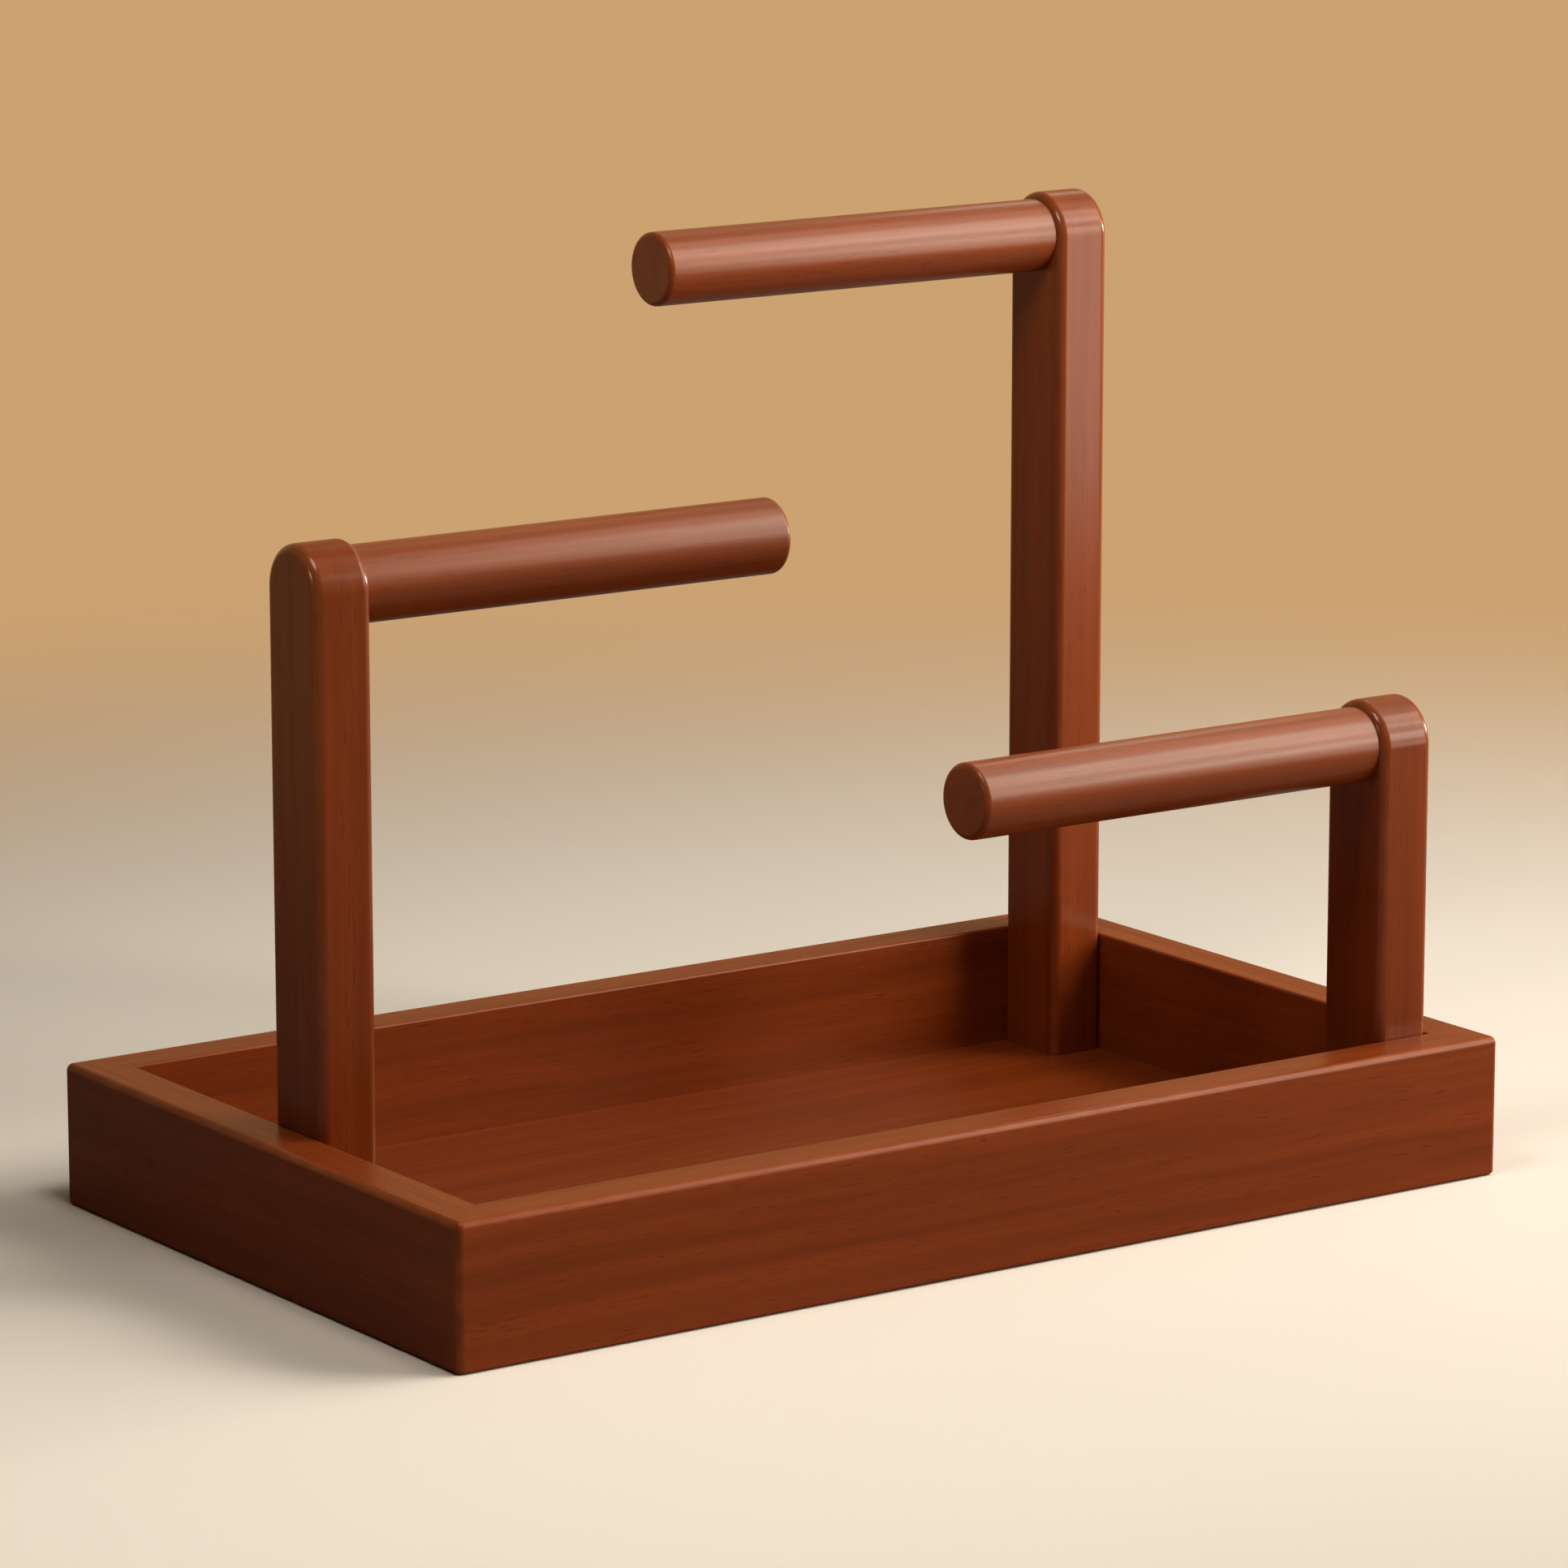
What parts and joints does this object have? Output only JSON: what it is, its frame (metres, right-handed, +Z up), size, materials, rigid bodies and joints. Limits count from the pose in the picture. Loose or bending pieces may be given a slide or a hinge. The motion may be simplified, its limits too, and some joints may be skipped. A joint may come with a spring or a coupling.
{
  "type": "jewelry stand",
  "caption": "Wooden jewelry stand: shallow open tray with round-headed flat posts of stepped heights, each carrying a level round rod to hang bracelets and necklaces on.",
  "frame": {"origin": "centre of the tray's underside, on the surface it stands on", "axes": "+X along the tray's length towards the tall and short posts, +Y from the front wall to the back wall, +Z up"},
  "size_m": [0.255, 0.1504, 0.1938],
  "materials": {
    "tray_wood": "satin lacquer on reddish brown stained hardwood, grain along each board",
    "floor_wood": "satin lacquer on reddish brown stained veneer, grain along the tray",
    "post_wood": "satin lacquer on reddish brown stained hardwood, grain upright",
    "rod_wood": "satin lacquer on reddish brown stained dowel, grain along the rod",
    "spline_wood": "bare hardwood, hidden in the joint",
    "screw_steel": "zinc plated steel"
  },
  "bodies": {
    "root": {"front_wall": "tray_wood", "back_wall": "tray_wood", "left_wall": "tray_wood", "right_wall": "tray_wood", "floor_panel": "floor_wood", "tall_post": "post_wood", "middle_post": "post_wood", "short_post": "post_wood", "tall_rod": "rod_wood", "middle_rod": "rod_wood", "short_rod": "rod_wood", "front_left_spline": "spline_wood", "front_right_spline": "spline_wood", "back_left_spline": "spline_wood", "back_right_spline": "spline_wood", "tall_post_screw": "screw_steel", "middle_post_screw": "screw_steel", "short_post_screw": "screw_steel"}
  },
  "joints": []
}
